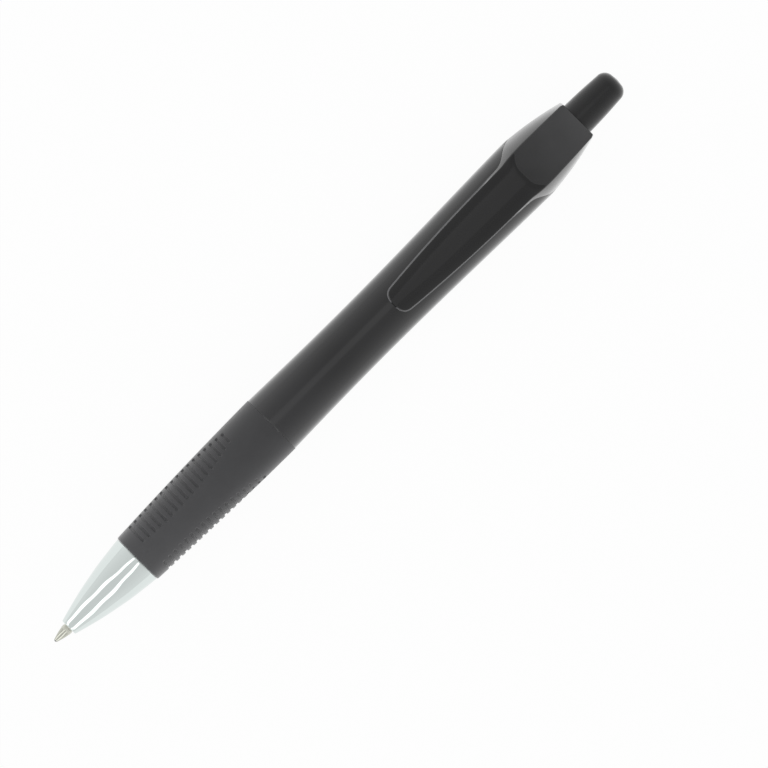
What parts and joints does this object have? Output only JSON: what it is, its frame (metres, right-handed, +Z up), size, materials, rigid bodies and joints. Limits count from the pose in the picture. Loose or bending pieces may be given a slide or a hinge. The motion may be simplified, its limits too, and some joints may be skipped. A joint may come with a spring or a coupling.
{
  "type": "retractable gel pen",
  "caption": "Slim retractable gel pen with chrome nose cone, ribbed rubber grip, gloss black barrel, pocket clip and push button.",
  "frame": {"origin": "on the ground under the middle of the pen's length, as it lies with the point out and the clip up", "axes": "+X along the pen from the point to the button, +Z up through the clip, +Y to the left seen from the button"},
  "size_m": [0.146, 0.013, 0.0155],
  "materials": {
    "barrel_plastic": "gloss moulded ABS, black",
    "grip_rubber": "matte soft rubber, black",
    "nose_chrome": "bright chrome plate",
    "cap_plastic": "satin moulded ABS, black",
    "button_plastic": "gloss moulded ABS, black",
    "sleeve_plastic": "moulded acetal, black",
    "rotor_plastic": "moulded acetal, natural white",
    "spring_steel": "bright spring steel",
    "tube_plastic": "clear polypropylene tube",
    "ink": "wet black gel",
    "grease": "pale clear grease",
    "holder_plastic": "moulded polypropylene, white",
    "point_metal": "turned nickel silver",
    "ball_metal": "polished carbide",
    "plug_plastic": "moulded polypropylene, black"
  },
  "bodies": {
    "body": {"barrel": "barrel_plastic", "grip_sleeve": "grip_rubber", "end_cap": "cap_plastic", "cam_sleeve": "sleeve_plastic"},
    "clip": {"pocket_clip": "cap_plastic"},
    "button": {"push_button": "button_plastic"},
    "refill": {"refill_tube": "tube_plastic", "gel_ink": "ink", "ink_follower": "grease", "tip_holder": "holder_plastic", "point_body": "point_metal", "ball_spring": "spring_steel", "tail_plug": "plug_plastic"},
    "rotor": {"cam_rotor": "rotor_plastic"},
    "ball": {"writing_ball": "ball_metal"},
    "spring": {"return_spring": "spring_steel"},
    "nose": {"nose_cone": "nose_chrome"}
  },
  "joints": [
    {"name": "button_press", "type": "slide", "parent": "body", "child": "button", "axis": [1, 0, 0], "range_m": [-0.0012, 0.005], "stiffness_N_per_m": 150},
    {"name": "refill_feed", "type": "slide", "parent": "body", "child": "refill", "axis": [1, 0, 0], "range_m": [-0.0012, 0.005], "deforming": ["return_spring"]},
    {"name": "rotor_turn", "type": "hinge", "parent": "refill", "child": "rotor", "pos_m": [0.0405, 0, 0.0065], "axis": [1, 0, 0], "range_deg": [0, 90]},
    {"name": "clip_flex", "type": "hinge", "parent": "body", "child": "clip", "pos_m": [0.0473, 0, 0.0147], "axis": [0, 1, 0], "range_deg": [0, 3.5], "stiffness_Nm_per_rad": 0.5},
    {"name": "ball_roll", "type": "hinge", "parent": "refill", "child": "ball", "pos_m": [-0.07265, 0, 0.0065], "axis": [0, 1, 0], "continuous": true},
    {"name": "nose_advance", "type": "slide", "parent": "body", "child": "spring", "axis": [-1, 0, 0], "range_m": [0, 0.007]},
    {"name": "nose_turn", "type": "hinge", "parent": "spring", "child": "nose", "pos_m": [-0.0564, 0, 0.0065], "axis": [-1, 0, 0], "range_deg": [0, 2520]}
  ],
  "couplings": [
    {"joint": "refill_feed", "follows": "button_press", "ratio": 1},
    {"joint": "nose_turn", "follows": "nose_advance", "rad_per_m": 6283.2}
  ]
}
